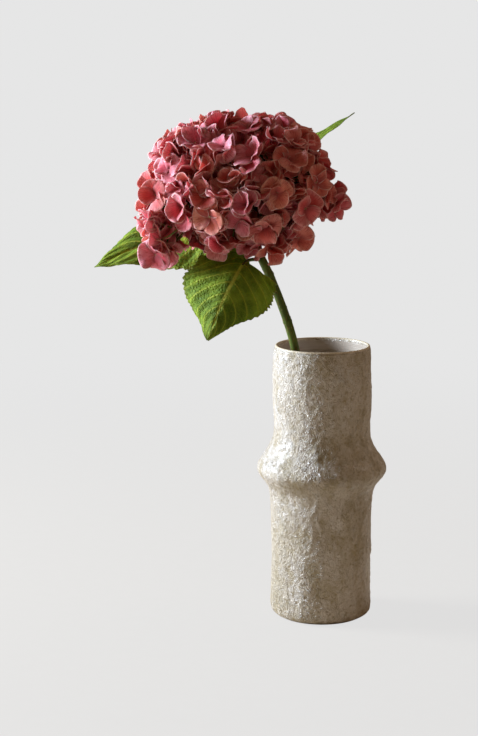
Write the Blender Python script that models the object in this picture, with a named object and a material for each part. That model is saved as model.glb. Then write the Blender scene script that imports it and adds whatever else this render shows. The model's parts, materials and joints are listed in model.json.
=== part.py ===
"""A cut hydrangea standing in a tall stoneware vase.

One stem leans on the vase's rim. It carries three leaves and, on six short branches, a flower head of
four-petalled florets, each on a stalk of its own. The vase is one piece with a flared collar.
Metres, +Z up, the origin at the centre of the vase's flat base, and -Y is the front.
Every grown piece keeps a small gap to the piece that it grows from, so that each is a closed solid.
"""

import math
import random

import bmesh
import bpy
from mathutils import Matrix, Vector
from mathutils.bvhtree import BVHTree

GAP = 0.0004  # between pieces that touch

# Vase: radius and height up the outside, above the rounded foot.
VASE_HEIGHT = 0.290
VASE_OUTLINE = (
    (0.0537, 0.0130),
    (0.0528, 0.0330),
    (0.0522, 0.0540),
    (0.0530, 0.0900),
    (0.0535, 0.1180),
    (0.0538, 0.1300),
    (0.0556, 0.1385),
    (0.0605, 0.1455),
    (0.0660, 0.1520),
    (0.0686, 0.1585),
    (0.0672, 0.1640),
    (0.0628, 0.1700),
    (0.0582, 0.1765),
    (0.0545, 0.1835),
    (0.0513, 0.1925),
    (0.0505, 0.2060),
    (0.0515, 0.2250),
    (0.0517, 0.2550),
    (0.0510, 0.2750),
)
FOOT_ROUND = 0.0085
WALL = 0.0050
RIM_WALL = 0.0030
RIM_RADIUS = 0.0496
FLOOR = 0.0060
VASE_SEGMENTS = 32

# Stem: centre line from the cut end on the vase's floor to the fork under the head.
STEM_POINTS = (
    (0.0270, 0.0250, 0.0076),
    (0.0130, 0.0110, 0.0900),
    (-0.0080, -0.0095, 0.1950),
    (-0.0294, -0.0292, 0.2900),
    (-0.0414, -0.0350, 0.3300),
    (-0.0560, -0.0395, 0.3670),
    (-0.0730, -0.0430, 0.4020),
    (-0.0860, -0.0450, 0.4280),
)
STEM_FOOT_RADIUS = 0.0045
STEM_TOP_RADIUS = 0.0042
STEM_RINGS = 30

# Head: an ellipsoid through the florets' centres, with lobes where the clusters swell or hollow it.
HEAD_CENTRE = Vector((-0.086, -0.045, 0.453))
HEAD_RADII = Vector((0.088, 0.076, 0.071))
HEAD_LOBES = (  # azimuth, elevation, half-width in degrees, share of the radius
    (-74, -40, 22, 0.34),
    (-90, 25, 25, 0.04),
    (88, -8, 18, 0.09),
    (20, 0, 40, 0.05),
    (-15, 78, 16, -0.08),
    (10, -62, 20, 0.10),
    (-35, -55, 14, -0.10),
)
BRANCHES = (  # azimuth and elevation of each branch's end
    (-35, 12),
    (35, 10),
    (100, 5),
    (170, 10),
    (-110, 0),
    (0, 80),
)
BRANCH_REACH = 0.42  # share of the head's radius
BRANCH_RADIUS = 0.0019
KNOB_RADIUS = 0.0046
FORK_SPREAD = 0.0060  # from the stem's axis to the foot of each outer branch
FORK_RADIUS = 0.0084

# Florets: azimuth and elevation from the head's centre, and the span across the petals in millimetres.
FRONT_FLORETS = (
    (5, -5, 46),
    (27, 3, 42),
    (22, -24, 46),
    (10, 28, 46),
    (-14, 37, 38),
    (-48, 40, 44),
    (-55, 66, 42),
    (22, 68, 40),
    (71, 62, 38),
    (78, 42, 38),
    (40, 24, 44),
    (80, 22, 38),
    (62, 8, 38),
    (86, -9, 38),
    (50, -9, 42),
    (60, -33, 36),
    (33, -44, 40),
    (10, -56, 30),
    (-22, -40, 34),
    (-71, -1, 40),
    (-75, -18, 42),
    (-72, -35, 44),
    (-88, 26, 38),
    (-62, 18, 38),
    (-98, 4, 36),
    (-46, -8, 42),
    (-27, 10, 40),
    (-8, 14, 38),
    (-22, -14, 42),
    (-95, 50, 36),
)
BACK_FLORETS = (  # elevation, span in millimetres, and the azimuths of that row
    (-42, 44, (104, 142, 180, 256)),
    (-14, 46, (118, 153, 223, 258)),
    (16, 46, (108, 144, 179, 215, 250)),
    (44, 44, (116, 157, 197, 230)),
    (72, 42, (170,)),
)
PETAL_THICKNESS = 0.0012
NOTCH = 0.76  # share of the radius that the notches between petals leave
FLORET_TILT = 9.0  # largest lean of a floret from the head's surface, in degrees
FRONT_LEAN = 0.55  # how far the front florets turn towards the front
INSET_STEP = 0.0012
INSET_STEPS = 24
KNOBS_TRIED = 3
EYE_HEIGHT = 0.0008
STALK_RADIUS = 0.0011
STALK_STRAIGHT = 0.016

# Leaves: the height at which each leaves the stem, its midrib's points beyond the stem, the directions
# across the blade at its base and its tip, and the blade's half-width.
LEAVES = {
    "leaf_left": {
        "height": 0.3900,
        "midrib": (
            (-0.1000, -0.0150, 0.4090),
            (-0.1360, -0.0020, 0.4050),
            (-0.1880, 0.0020, 0.3920),
            (-0.2360, -0.0050, 0.3710),
        ),
        "across": ((0.10, 0.72, 0.69), (0.25, 0.64, 0.72)),
        "half_width": 0.043,
    },
    "leaf_front": {
        "height": 0.3860,
        "midrib": (
            (-0.0810, -0.0760, 0.3850),
            (-0.0930, -0.1010, 0.3690),
            (-0.1060, -0.1190, 0.3450),
            (-0.1170, -0.1270, 0.3150),
        ),
        "across": ((0.90, 0.10, -0.40), (0.90, 0.0, -0.42)),
        "half_width": 0.044,
    },
    "leaf_right": {
        "height": 0.3970,
        "midrib": (
            (-0.0600, 0.0130, 0.4070),
            (-0.0480, 0.0480, 0.4300),
            (-0.0370, 0.0560, 0.4640),
            (-0.0130, 0.0430, 0.4930),
            (0.0330, 0.0360, 0.5270),
        ),
        "across": ((0.90, -0.42, -0.10), (0.10, -0.93, -0.20)),
        "half_width": 0.027,
    },
}
LEAF_THICKNESS = 0.0012
PETIOLE_RADIUS = 0.0019
PETIOLE_SHARE = 0.20
LEAF_STATIONS = 18

STONEWARE = ("stoneware", (0.62, 0.57, 0.50), 0.35)
STEM_GREEN = ("stem_green", (0.12, 0.20, 0.04), 0.50)
LEAF_GREEN = ("leaf_green", (0.08, 0.19, 0.03), 0.42)
PETAL_ROSE = ("petal_rose", (0.55, 0.10, 0.11), 0.60)


def clear_scene():
    for obj in list(bpy.data.objects):
        bpy.data.objects.remove(obj, do_unlink=True)


def material(name, colour, roughness):
    found = bpy.data.materials.get(name)
    if found:
        return found
    made = bpy.data.materials.new(name)
    made.use_nodes = True
    shader = made.node_tree.nodes["Principled BSDF"]
    shader.inputs["Base Color"].default_value = (*colour, 1.0)
    shader.inputs["Roughness"].default_value = roughness
    shader.inputs["Metallic"].default_value = 0.0
    return made


def add_object(name, mesh, finish):
    """Links a bmesh as one named object, smooth but for its sharp edges."""
    bmesh.ops.recalc_face_normals(mesh, faces=mesh.faces)
    if mesh.calc_volume(signed=True) < 0:
        bmesh.ops.reverse_faces(mesh, faces=mesh.faces)
    data = bpy.data.meshes.new(name)
    mesh.to_mesh(data)
    mesh.free()
    data.shade_smooth()
    data.set_sharp_from_angle(angle=math.radians(50))
    data.materials.append(material(*finish))
    obj = bpy.data.objects.new(name, data)
    bpy.context.scene.collection.objects.link(obj)
    return obj


def smooth_path(points, count):
    """count points, evenly spaced by span, on a Catmull-Rom curve through the given ones."""
    known = [Vector(p) for p in points]
    ends = [2 * known[0] - known[1], *known, 2 * known[-1] - known[-2]]
    path = []
    for i in range(count):
        place = i / (count - 1) * (len(known) - 1)
        span = min(int(place), len(known) - 2)
        t = place - span
        a, b, c, d = ends[span : span + 4]
        path.append(
            0.5 * (2 * b + (c - a) * t + (2 * a - 5 * b + 4 * c - d) * t**2 + (3 * b - a - 3 * c + d) * t**3)
        )
    return path


def tangents(path):
    last = len(path) - 1
    return [(path[min(i + 1, last)] - path[max(i - 1, 0)]).normalized() for i in range(len(path))]


def bridge(mesh, first, second):
    """Joins two rings of equal length with a band of quads."""
    count = len(first)
    for i in range(count):
        j = (i + 1) % count
        mesh.faces.new((first[i], first[j], second[j], second[i]))


def loft(mesh, rings):
    """A closed body through rings of points, with flat ends."""
    made = [[mesh.verts.new(p) for p in ring] for ring in rings]
    for first, second in zip(made, made[1:]):
        bridge(mesh, first, second)
    mesh.faces.new(reversed(made[0]))
    mesh.faces.new(made[-1])
    return made


def tube_rings(path, radii, sides):
    """Round rings square to the path, turned as little as possible from one to the next."""
    along = tangents(path)
    side = along[0].orthogonal().normalized()
    rings = []
    for centre, direction, radius in zip(path, along, radii):
        side = (side - direction * side.dot(direction)).normalized()
        other = direction.cross(side)
        turns = [2 * math.pi * k / sides for k in range(sides)]
        rings.append([centre + radius * (side * math.cos(a) + other * math.sin(a)) for a in turns])
    return rings


# --- Vase ---------------------------------------------------------------------------------------------


def foot_arc(radius, height, round_radius, steps=4):
    """Quarter circle from the underside out to the wall."""
    arc = []
    for k in range(steps):
        angle = math.pi / 2 * k / steps
        arc.append(
            (radius - round_radius * (1 - math.sin(angle)), height + round_radius * (1 - math.cos(angle)))
        )
    return arc


def vase_profile():
    """Radius and height, from the underside up the outside, over the rim and down to the inside floor."""
    outside = foot_arc(VASE_OUTLINE[0][0], 0.0, FOOT_ROUND) + list(VASE_OUTLINE)
    rim = [
        (RIM_RADIUS, VASE_HEIGHT - 0.0012),
        (RIM_RADIUS - 0.0009, VASE_HEIGHT),
        (RIM_RADIUS - RIM_WALL + 0.0009, VASE_HEIGHT),
        (RIM_RADIUS - RIM_WALL, VASE_HEIGHT - 0.0012),
    ]
    inside = [(radius - WALL, height) for radius, height in reversed(VASE_OUTLINE[1::2])]
    floor = reversed(foot_arc(VASE_OUTLINE[0][0] - WALL, FLOOR, FOOT_ROUND, steps=2))
    return outside + rim + inside + list(floor)


def make_vase():
    mesh = bmesh.new()
    turns = [2 * math.pi * k / VASE_SEGMENTS for k in range(VASE_SEGMENTS)]
    loft(mesh, [[(r * math.cos(a), r * math.sin(a), z) for a in turns] for r, z in vase_profile()])
    return add_object("vase", mesh, STONEWARE)


# --- Stem and branches --------------------------------------------------------------------------------


def make_stem():
    path = smooth_path(STEM_POINTS, STEM_RINGS)
    shares = [i / (STEM_RINGS - 1) for i in range(STEM_RINGS)]
    radii = [STEM_FOOT_RADIUS + (STEM_TOP_RADIUS - STEM_FOOT_RADIUS) * s for s in shares]
    radii[-1] = FORK_RADIUS
    mesh = bmesh.new()
    loft(mesh, tube_rings(path, radii, 10))
    return add_object("stem", mesh, STEM_GREEN)


def direction(azimuth, elevation):
    """Unit vector: azimuth 0 is the front, -Y, and 90 is +X."""
    a, e = math.radians(azimuth), math.radians(elevation)
    return Vector((math.sin(a) * math.cos(e), -math.cos(a) * math.cos(e), math.sin(e)))


def head_radius(towards):
    base = 1 / Vector(t / r for t, r in zip(towards, HEAD_RADII)).length
    swell = 1.0
    for azimuth, elevation, width, share in HEAD_LOBES:
        away = math.degrees(towards.angle(direction(azimuth, elevation)))
        swell += share * math.exp(-((away / width) ** 2))
    return base * swell


def head_normal(towards):
    """Outward normal of the ellipsoid, drawn half-way back to the line from the centre."""
    square = Vector(t / r**2 for t, r in zip(towards, HEAD_RADII)).normalized()
    return (square + towards).normalized()


def knob_centres():
    places = []
    for azimuth, elevation in BRANCHES:
        towards = direction(azimuth, elevation)
        places.append(HEAD_CENTRE + towards * head_radius(towards) * BRANCH_REACH)
    return places


def make_branch(number, knob):
    """A branch that leaves the stem's fork and swells into the knob that its florets grow from."""
    fork = Vector(STEM_POINTS[-1])
    up = (fork - Vector(STEM_POINTS[-2])).normalized()
    outward = (knob - fork) - up * (knob - fork).dot(up)
    foot = fork + up * GAP * 2
    if number < len(BRANCHES) - 1:  # the last branch rises from the middle of the fork
        foot += outward.normalized() * FORK_SPREAD
    start = foot + up * 0.006
    along = (knob - start).normalized()
    path = smooth_path((foot, start, start.lerp(knob, 0.5), knob - along * KNOB_RADIUS), 7)
    path += [knob - along * KNOB_RADIUS * 0.4, knob + along * KNOB_RADIUS * 0.3, knob + along * KNOB_RADIUS * 0.8]
    radii = [BRANCH_RADIUS] * 7 + [KNOB_RADIUS * 0.85, KNOB_RADIUS * 0.95, KNOB_RADIUS * 0.5]
    mesh = bmesh.new()
    loft(mesh, tube_rings(path, radii, 8))
    return add_object(f"branch_{number + 1}", mesh, STEM_GREEN)


# --- Florets ------------------------------------------------------------------------------------------


def petal_outline(radius, angle):
    """Distance from the floret's middle to its edge: four round petals with a notch between each two."""
    return radius * (NOTCH + (1 - NOTCH) * abs(math.cos(2 * angle)) ** 0.6)


def floret_surface(radius, share, angle, lift):
    """A point on the floret, domed like the head and a little cupped along each petal."""
    r = petal_outline(radius, angle) * share
    height = lift - r**2 / (2 * HEAD_RADII.x) + 0.0012 * math.cos(4 * angle) * share
    return Vector((r * math.cos(angle), r * math.sin(angle), height))


def stalk_rings(place, knob, margin):
    """Three rings down the stalk: under the petals, below them, and just clear of the knob."""
    outward = (place.to_3x3() @ Vector((0, 0, 1))).normalized()
    top = place.translation - outward * (PETAL_THICKNESS / 2 + margin + 0.0004)
    below = top - outward * min(STALK_STRAIGHT, (top - knob).length * 0.4)
    foot = knob + (below - knob).normalized() * (KNOB_RADIUS + GAP + margin / 2)
    path = [top, below, foot]
    along = [-outward, (foot - top).normalized(), (foot - below).normalized()]
    side = (place.to_3x3() @ Vector((1, 0, 0))).normalized()
    rings = []
    for centre, down in zip(path, along):
        side = (side - down * side.dot(down)).normalized()
        other = side.cross(down)
        turns = [2 * math.pi * k / 8 for k in range(8)]
        reach = STALK_RADIUS + margin
        rings.append([centre + reach * (side * math.cos(a) + other * math.sin(a)) for a in turns])
    return rings


def floret_mesh(place, radius, knob, margin=0.0):
    """One closed body: the petals as one lobed sheet, and the stalk under it that runs to the knob.

    margin thickens it, to test that it clears its neighbours.
    """
    mesh = bmesh.new()
    half = PETAL_THICKNESS / 2 + margin
    fine = [2 * math.pi * k / 16 for k in range(16)]

    def ring(angles, share, lift):
        return [mesh.verts.new(place @ floret_surface(radius + margin, share, a, lift)) for a in angles]

    centre = mesh.verts.new(place @ Vector((0, 0, half + EYE_HEIGHT)))
    top, bottom = ring(fine[::2], 0.45, half), ring(fine[::2], 0.45, -half)
    rim_top, rim_bottom = ring(fine, 1.0, half), ring(fine, 1.0, -half)
    for i in range(8):
        j = (i + 1) % 8
        mesh.faces.new((centre, top[i], top[j]))
        for inner, outer in ((top, rim_top), (bottom, rim_bottom)):
            mesh.faces.new((inner[i], outer[2 * i], outer[2 * i + 1]))
            mesh.faces.new((inner[i], outer[2 * i + 1], inner[j]))
            mesh.faces.new((inner[j], outer[2 * i + 1], outer[(2 * i + 2) % 16]))
    bridge(mesh, rim_top, rim_bottom)
    stalk = [[mesh.verts.new(p) for p in points] for points in stalk_rings(place, knob, margin)]
    for first, second in zip([bottom, *stalk], stalk):
        bridge(mesh, first, second)
    mesh.faces.new(stalk[-1])
    return mesh


def floret_list():
    """Azimuth, elevation and span of every floret, the front ones first."""
    florets = [(azimuth, elevation, span / 1000) for azimuth, elevation, span in FRONT_FLORETS]
    for elevation, span, azimuths in BACK_FLORETS:
        florets += [(azimuth, elevation, span / 1000) for azimuth in azimuths]
    return florets


def place_floret(azimuth, elevation, lean, spin, inset):
    towards = direction(azimuth, elevation)
    centre = HEAD_CENTRE + towards * (head_radius(towards) - inset)
    forward = direction(0, 0) * FRONT_LEAN if abs(azimuth) < 100 else Vector()
    normal = (head_normal(towards) + forward + lean).normalized()
    turned = normal.to_track_quat("Z", "Y").to_matrix().to_4x4() @ Matrix.Rotation(spin, 4, "Z")
    return Matrix.Translation(centre) @ turned


def settle(azimuth, elevation, radius, knobs, trees, rng):
    """The outermost place, turn and knob at which a floret clears all that stands already."""
    lean = Vector([rng.uniform(-1, 1) for _ in range(3)]) * math.sin(math.radians(FLORET_TILT))
    spin = rng.uniform(0, math.pi / 2)
    for step in range(INSET_STEPS):
        for turn in (0, 1, 2):
            place = place_floret(azimuth, elevation, lean, spin + turn * math.pi / 6, step * INSET_STEP)
            near = sorted(knobs, key=lambda knob: (knob - place.translation).length)
            for knob in near[:KNOBS_TRIED]:
                trial = floret_mesh(place, radius, knob, margin=GAP)
                tree = BVHTree.FromBMesh(trial)
                trial.free()
                if not any(tree.overlap(other) for other in trees):
                    return place, knob
    raise ValueError(f"there is no room for the floret at {azimuth:.0f}, {elevation:.0f}")


def make_florets(knobs, standing):
    """Sets the florets on the head one by one, each drawn inward as far as its neighbours ask."""
    rng = random.Random(7)
    trees = list(standing)
    for number, (azimuth, elevation, span) in enumerate(floret_list(), start=1):
        place, knob = settle(azimuth, elevation, span / 2, knobs, trees, rng)
        mesh = floret_mesh(place, span / 2, knob)
        trees.append(BVHTree.FromBMesh(mesh))
        add_object(f"floret_{number:02d}", mesh, PETAL_ROSE)


# --- Leaves -------------------------------------------------------------------------------------------


def leaf_half_width(share, widest):
    """Half-width at a share of the blade's length: broad near the base, drawn out to a fine tip."""
    return widest * math.sin(math.pi * share**0.72) ** 0.9 * (1 - 0.35 * share**3) + 0.0008


def leaf_ring(centre, across, up, half_width):
    """Ten points round the blade: five over its top from edge to edge, then five back underneath."""
    half = LEAF_THICKNESS / 2
    shares = (-1.0, -0.5, 0.0, 0.5, 1.0)
    sheet = []
    for s in shares:
        height = 0.24 * abs(s) * half_width - 0.20 * s**2 * half_width
        sheet.append(centre + across * s * half_width + up * height)
    return [p + up * half for p in sheet] + [p - up * half for p in reversed(sheet)]


def petiole_ring(centre, across, up):
    angles = [math.radians(a) for a in (162, 126, 90, 54, 18, -18, -54, -90, -126, -162)]
    return [centre + PETIOLE_RADIUS * (across * math.cos(a) + up * math.sin(a)) for a in angles]


def petiole_foot(height, towards):
    """Where a petiole meets the stem, and the way straight out from the stem there."""
    stem = smooth_path(STEM_POINTS, 400)
    place, along = min(zip(stem, tangents(stem)), key=lambda pair: abs(pair[0].z - height))
    outward = Vector(towards) - place
    outward = (outward - along * outward.dot(along)).normalized()
    return place + outward * (STEM_FOOT_RADIUS + GAP), outward


def make_leaf(name, height, midrib, across, half_width):
    foot, outward = petiole_foot(height, midrib[0])
    path = smooth_path((foot, *midrib), LEAF_STATIONS)
    courses = [outward, *tangents(path)[1:]]
    at_base, at_tip = (Vector(a).normalized() for a in across)
    rings = []
    for i, (centre, along) in enumerate(zip(path, courses)):
        share = i / (LEAF_STATIONS - 1)
        sideways = at_base.lerp(at_tip, share)
        sideways = (sideways - along * sideways.dot(along)).normalized()
        up = sideways.cross(along)
        if share < PETIOLE_SHARE:
            rings.append(petiole_ring(centre, sideways, up))
        else:
            blade = (share - PETIOLE_SHARE) / (1 - PETIOLE_SHARE)
            rings.append(leaf_ring(centre, sideways, up, leaf_half_width(blade, half_width)))
    mesh = bmesh.new()
    loft(mesh, rings)
    return add_object(name, mesh, LEAF_GREEN)


def mesh_tree(obj):
    mesh = bmesh.new()
    mesh.from_mesh(obj.data)
    tree = BVHTree.FromBMesh(mesh)
    mesh.free()
    return tree


def main():
    clear_scene()
    make_vase()
    knobs = knob_centres()
    standing = [make_stem()]
    standing += [make_branch(i, knob) for i, knob in enumerate(knobs)]
    standing += [make_leaf(name, **leaf) for name, leaf in LEAVES.items()]
    make_florets(knobs, [mesh_tree(obj) for obj in standing])


main()
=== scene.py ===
"""Looks of the hydrangea in its stoneware vase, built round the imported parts.

Every piece takes its place from the part's own nodes: the vase is turned afresh from the node's outline, the
stem and leaves follow the rings of their nodes, and each floret opens where its node sits. Smaller florets
fill the head between them. Metres, +Z up, -Y is the front.
"""

import json
import math
import random

import bpy
import numpy as np
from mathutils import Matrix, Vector, noise
from mathutils.bvhtree import BVHTree

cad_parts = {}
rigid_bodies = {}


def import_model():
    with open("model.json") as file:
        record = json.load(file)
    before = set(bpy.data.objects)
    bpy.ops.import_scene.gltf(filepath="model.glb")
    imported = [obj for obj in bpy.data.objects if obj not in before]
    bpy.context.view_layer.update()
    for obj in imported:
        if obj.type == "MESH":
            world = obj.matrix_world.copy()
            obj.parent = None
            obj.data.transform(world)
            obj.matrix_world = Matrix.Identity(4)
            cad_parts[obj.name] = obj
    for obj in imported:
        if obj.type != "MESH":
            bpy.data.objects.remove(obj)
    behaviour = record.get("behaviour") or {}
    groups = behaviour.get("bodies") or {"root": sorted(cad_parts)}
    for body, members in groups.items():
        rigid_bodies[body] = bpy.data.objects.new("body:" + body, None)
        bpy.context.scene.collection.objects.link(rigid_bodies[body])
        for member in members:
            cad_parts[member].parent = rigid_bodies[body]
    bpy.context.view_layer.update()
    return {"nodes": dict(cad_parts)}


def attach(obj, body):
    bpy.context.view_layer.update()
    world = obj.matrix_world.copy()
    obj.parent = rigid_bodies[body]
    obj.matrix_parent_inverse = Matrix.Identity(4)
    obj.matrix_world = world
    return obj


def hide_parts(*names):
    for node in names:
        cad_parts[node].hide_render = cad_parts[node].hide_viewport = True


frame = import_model()

# Camera, lights and floor.
CAMERA_PLACE = (-0.087, -1.837, 0.605)
CAMERA_PITCH = 79.5
CAMERA_LENS = 87.55
CAMERA_SENSOR = 36.0
BACKDROP = (0.791, 0.791, 0.791)
AMBIENT = (0.160, 0.112, 0.068)
KEY_PLACE = (-1.48, 0.24, 0.80)
KEY_AIM = (-0.04, -0.02, 0.30)
KEY_SIZE = 0.65
KEY_POWER = 67.5
KEY_COLOUR = (0.75, 0.86, 1.0)
FILL_PLACE = (0.95, 0.25, 1.15)
FILL_AIM = (-0.07, -0.04, 0.46)
FILL_SIZE = 0.8
FILL_POWER = 3.0
FILL_COLOUR = (1.0, 0.82, 0.70)
FLOOR_RADIUS = 3.4

# Vase.
VASE_SEGMENTS = 232
VASE_STEP = 0.00105
INSIDE_STEP = 0.006
CAD_HALF_SEGMENT = math.pi / 32
WARP_SHIFTS = ((9.3, 1.5, 7.9), (0.0, 0.0, 0.0), (-4.2, 6.6, -2.3))  # noise_vector differs at each run

# Florets.
PETAL_GRID = 13  # points along each side of a petal
FILLER_GRID = 10
PETAL_HALF_THICKNESS = 0.00022
FILLERS = 560
TRIES = 560  # directions tried in each shell of the head
CAD_FLORET_SCALE = 0.86
FILLER_REACH = math.radians(24)  # farthest from a node's floret, seen from the head's middle
LOBES = (  # the masses of the flower head: middle and half-extents; smaller florets keep inside them
    ((-0.086, -0.045, 0.453), (0.080, 0.078, 0.064)),
    ((-0.120, -0.045, 0.487), (0.045, 0.055, 0.042)),
    ((-0.050, -0.045, 0.489), (0.040, 0.055, 0.041)),
    ((-0.163, -0.050, 0.420), (0.027, 0.042, 0.034)),
    ((-0.006, -0.045, 0.446), (0.024, 0.032, 0.020)),
    ((-0.070, -0.060, 0.398), (0.028, 0.036, 0.024)),
    ((-0.096, -0.066, 0.401), (0.026, 0.036, 0.022)),
)
FILLER_SHELLS = ((1.01, 0.34), (0.95, 0.33), (0.87, 0.33), (0.78, 0.37), (0.67, 0.44))  # reach, spacing
FILLER_RADII = (0.0135, 0.0180)
CROWN_FROM, CROWN_SPAN = 0.455, 0.06  # height at which the top florets start to lean, and how fast
PETAL_THROUGH = 0.30  # share of the light that a petal lets through
UPRIGHT_SINK = 0.00025  # how much deeper a floret sits for each degree that its petals stand up past 40
UPWARD_LEAN = np.array([-0.60, 0.15, 0.34])  # how the top florets turn towards the light
LOOKS = {  # openness in degrees, warmth and depth of colour of the florets that show most
    "floret_01": (64, 0.00, 0.55),
    "floret_02": (22, 0.95, 0.10),
    "floret_03": (50, 0.65, 0.15),
    "floret_04": (30, 0.10, 0.35),
    "floret_05": (26, 0.00, 0.00),
    "floret_06": (28, 0.05, 0.00),
    "floret_07": (58, 0.10, 0.00),
    "floret_08": (34, 0.15, 0.05),
    "floret_10": (40, 0.80, 0.15),
    "floret_11": (36, 0.85, 0.45),
    "floret_12": (66, 0.70, 0.25),
    "floret_13": (24, 0.90, 0.30),
    "floret_14": (38, 0.30, 0.25),
    "floret_16": (30, 0.85, 0.10),
    "floret_17": (42, 0.80, 0.15),
    "floret_18": (44, 0.25, 0.20),
    "floret_19": (52, 0.20, 0.10),
    "floret_20": (34, 0.60, 0.00),
    "floret_21": (40, 0.35, 0.00),
    "floret_22": (34, 0.05, 0.30),
    "floret_26": (62, 0.30, 0.20),
    "floret_27": (70, 0.45, 0.55),
    "floret_28": (56, 0.75, 0.35),
    "floret_29": (20, 0.90, 0.00),
}


# --- Node trees ---------------------------------------------------------------------------------------


class Graph:
    """Short calls that build one material's node tree round a Principled shader."""

    def __init__(self, name, **constants):
        self.material = bpy.data.materials.new(name)
        self.material.use_nodes = True
        self.tree = self.material.node_tree
        self.shader = self.tree.nodes["Principled BSDF"]
        for socket, value in constants.items():
            self.shader.inputs[socket.replace("_", " ")].default_value = value

    def node(self, kind, inputs=(), **settings):
        made = self.tree.nodes.new("ShaderNode" + kind)
        for key, value in settings.items():
            setattr(made, key, value)
        for key, value in dict(inputs).items():
            self.feed(made.inputs[key], value)
        return made

    def feed(self, socket, value):
        if isinstance(value, bpy.types.NodeSocket):
            self.tree.links.new(value, socket)
        elif isinstance(value, tuple) and len(value) == 3 and len(socket.default_value) == 4:
            socket.default_value = (*value, 1.0)
        else:
            socket.default_value = value

    def math(self, operation, first, second=0.0, third=0.0):
        made = self.node("Math", {0: first, 1: second, 2: third}, operation=operation)
        return made.outputs[0]

    def band(self, value, low, high, to_low=0.0, to_high=1.0):
        """value eased from low to high onto to_low to to_high."""
        inputs = {"Value": value, 1: low, 2: high, 3: to_low, 4: to_high}
        made = self.node("MapRange", inputs, interpolation_type="SMOOTHSTEP")
        return made.outputs[0]

    def mix(self, factor, first, second, blend="MIX"):
        made = self.node("Mix", {0: factor, 6: first, 7: second}, data_type="RGBA", blend_type=blend)
        return made.outputs[2]

    def attribute(self, name):
        return self.node("Attribute", attribute_name=name).outputs["Fac"]

    def objects(self):
        return self.node("TexCoord").outputs["Object"]

    def uv(self):
        return self.node("TexCoord").outputs["UV"]

    def split(self, vector):
        return self.node("SeparateXYZ", {0: vector}).outputs

    def scaled(self, vector, scale):
        return self.node("Mapping", {"Vector": vector, "Scale": scale}).outputs[0]

    def noise(self, vector, scale, detail=3.0, rough=0.55, twist=0.0):
        inputs = {"Vector": vector, "Scale": scale, "Detail": detail, "Roughness": rough, "Distortion": twist}
        return self.node("TexNoise", inputs).outputs["Fac"]

    def cells(self, vector, scale, feature="DISTANCE_TO_EDGE"):
        return self.node("TexVoronoi", {"Vector": vector, "Scale": scale}, feature=feature).outputs[0]

    def bump(self, height, distance, strength=1.0):
        inputs = {"Height": height, "Distance": distance, "Strength": strength}
        return self.node("Bump", inputs).outputs[0]

    def blend(self, share, other):
        """Puts another shader in place of a share of the Principled one."""
        mix = self.node("MixShader", {0: share})
        self.tree.links.new(self.shader.outputs[0], mix.inputs[1])
        self.tree.links.new(other.outputs[0], mix.inputs[2])
        self.tree.links.new(mix.outputs[0], self.tree.nodes["Material Output"].inputs["Surface"])

    def let_through(self, colour, share):
        """Passes a share of the light on to the far side, as thin petals and leaves do."""
        self.blend(share, self.node("BsdfTranslucent", {"Color": colour}))

    def finish(self, **sockets):
        for socket, value in sockets.items():
            self.feed(self.shader.inputs[socket.replace("_", " ")], value)
        return self.material


# --- Mesh building ------------------------------------------------------------------------------------


class Builder:
    """Gathers surfaces, each with a material slot, UVs and point values, into one mesh object."""

    def __init__(self, *attributes):
        self.points, self.uvs, self.faces, self.slots = [], [], [], []
        self.values = {name: [] for name in attributes}
        self.count = 0

    def add(self, points, faces, slot=0, uv=None, **values):
        points = np.asarray(points, float).reshape(-1, 3)
        self.points.append(points)
        self.uvs.append(np.zeros((len(points), 2)) if uv is None else np.asarray(uv, float).reshape(-1, 2))
        self.faces += [tuple(int(i) + self.count for i in face) for face in faces]
        self.slots += [slot] * len(faces)
        for name, stored in self.values.items():
            stored.append(np.broadcast_to(np.asarray(values.get(name, 0.0), float).reshape(-1), len(points)))
        self.count += len(points)

    def build(self, name, materials, slot, *replaced):
        """Makes the object, rides it on the root body and hides the nodes that it replaces."""
        points, uvs = np.concatenate(self.points), np.concatenate(self.uvs)
        mesh = bpy.data.meshes.new(name)
        mesh.from_pydata(points.tolist(), [], self.faces)
        for material in materials:
            mesh.materials.append(material)
        mesh.polygons.foreach_set("material_index", self.slots)
        corners = np.empty(len(mesh.loops), np.int32)
        mesh.loops.foreach_get("vertex_index", corners)
        mesh.uv_layers.new(name="surface").data.foreach_set("uv", uvs[corners].astype(np.float32).ravel())
        for label, stored in self.values.items():
            layer = mesh.attributes.new(label, "FLOAT", "POINT")
            layer.data.foreach_set("value", np.concatenate(stored).astype(np.float32))
        mesh.shade_smooth()
        mesh.validate()
        obj = bpy.data.objects.new(name, mesh)
        bpy.context.scene.collection.objects.link(obj)
        if replaced:
            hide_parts(*replaced)
        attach(obj, "root")
        return obj


def grid_faces(rows, columns, wrap=False):
    """Quads over rows x columns points; wrap joins the last column to the first."""
    faces = []
    for i in range(rows - 1):
        for j in range(columns if wrap else columns - 1):
            k = (j + 1) % columns
            faces.append((i * columns + j, i * columns + k, (i + 1) * columns + k, (i + 1) * columns + j))
    return faces


def leaf_faces(rows, columns):
    """Faces of a thin closed sheet: a top grid, a bottom grid after it, and the band round their edges."""
    top = grid_faces(rows, columns)
    under = rows * columns
    faces = top + [tuple(i + under for i in reversed(face)) for face in top]
    rim = list(range(columns))
    rim += [i * columns + columns - 1 for i in range(1, rows)]
    rim += [(rows - 1) * columns + j for j in range(columns - 2, -1, -1)]
    rim += [i * columns for i in range(rows - 2, 0, -1)]
    for a, b in zip(rim, rim[1:] + rim[:1]):
        faces.append((b, a, a + under, b + under))
    return faces


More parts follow.
